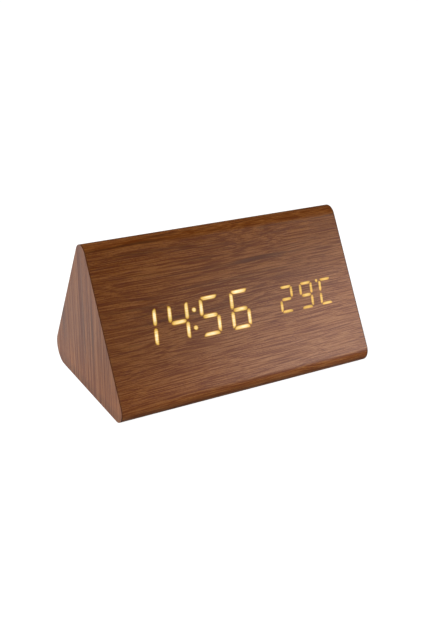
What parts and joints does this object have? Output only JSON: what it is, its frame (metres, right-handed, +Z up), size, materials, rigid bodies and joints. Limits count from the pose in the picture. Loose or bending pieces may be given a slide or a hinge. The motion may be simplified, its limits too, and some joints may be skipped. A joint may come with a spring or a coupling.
{
  "type": "digital alarm clock",
  "caption": "Triangular walnut-veneered desk alarm clock whose amber LED digits shine through the front face, with rear push buttons, a power socket and a battery box underneath.",
  "frame": {"origin": "on the table, under the middle of the case's bounding box", "axes": "+X along the case, to the right when the display is read; -Y is the way the display faces; +Z up"},
  "size_m": [0.15, 0.088, 0.0808],
  "materials": {
    "walnut_veneer": "satin walnut veneer, grain along the case",
    "end_veneer": "satin walnut veneer, grain upright",
    "fibreboard": "raw medium-density fibreboard",
    "foot_rubber": "matte rubber",
    "lit_amber": "veneer lit from behind by amber LEDs",
    "diffuser_white": "matte white film",
    "reflector_white": "glossy white moulding",
    "led_yellow": "clear-topped LED chips",
    "circuit_green": "green solder mask",
    "plated_steel": "zinc-plated steel",
    "contact_steel": "nickel-plated spring steel",
    "black_screw": "black-oxide steel",
    "chip_black": "matte black moulding",
    "capacitor_sleeve": "shrink sleeve",
    "socket_ivory": "natural nylon",
    "panel_black": "fine-textured black plastic",
    "button_grey": "satin dark grey plastic",
    "jack_black": "black nylon",
    "cell_sleeve": "printed sleeve in two plain colours",
    "red_wire": "insulation",
    "black_wire": "insulation",
    "grey_cable": "cable sheath"
  },
  "bodies": {
    "case": {"veneer_wrap": "walnut_veneer", "left_end_veneer": "end_veneer", "right_end_veneer": "end_veneer", "front_board": "fibreboard", "rear_board": "fibreboard", "base_board": "fibreboard", "left_end_panel": "fibreboard", "right_end_panel": "fibreboard", "foot_pads": "foot_rubber", "lit_segments": "lit_amber", "diffuser_film": "diffuser_white", "reflector_block": "reflector_white", "led_chips": "led_yellow", "display_board": "circuit_green", "control_board": "circuit_green", "display_screws": "plated_steel", "control_screws": "plated_steel", "crystal_can": "plated_steel", "switch_bodies": "plated_steel", "jack_pin": "plated_steel", "contact_plates": "contact_steel", "contact_springs": "contact_steel", "panel_screws": "black_screw", "tray_screws": "black_screw", "controller_chip": "chip_black", "capacitors": "capacitor_sleeve", "buzzer": "chip_black", "wire_sockets": "socket_ivory", "cable_plug": "socket_ivory", "control_panel": "panel_black", "battery_tray": "panel_black", "power_jack": "jack_black", "temperature_sensor": "chip_black", "cell_1": "cell_sleeve", "cell_2": "cell_sleeve", "cell_3": "cell_sleeve", "cell_4": "cell_sleeve", "red_lead": "red_wire", "black_lead": "black_wire", "control_cable": "grey_cable"},
    "set_key": {"set_button": "button_grey", "set_plunger": "chip_black"},
    "down_key": {"down_button": "button_grey", "down_plunger": "chip_black"},
    "up_key": {"up_button": "button_grey", "up_plunger": "chip_black"},
    "battery_door": {"battery_door": "panel_black"}
  },
  "joints": [
    {"name": "set_press", "type": "slide", "parent": "case", "child": "set_key", "axis": [0, -0.866, -0.5], "range_m": [0, 0.0005], "stiffness_N_per_m": 300, "springref_m": -0.0008},
    {"name": "down_press", "type": "slide", "parent": "case", "child": "down_key", "axis": [0, -0.866, -0.5], "range_m": [0, 0.0005], "stiffness_N_per_m": 300, "springref_m": -0.0008},
    {"name": "up_press", "type": "slide", "parent": "case", "child": "up_key", "axis": [0, -0.866, -0.5], "range_m": [0, 0.0005], "stiffness_N_per_m": 300, "springref_m": -0.0008},
    {"name": "door_hinge", "type": "hinge", "parent": "case", "child": "battery_door", "pos_m": [0, 0.0215, 0.0019], "axis": [1, 0, 0], "range_deg": [0, 90]}
  ]
}
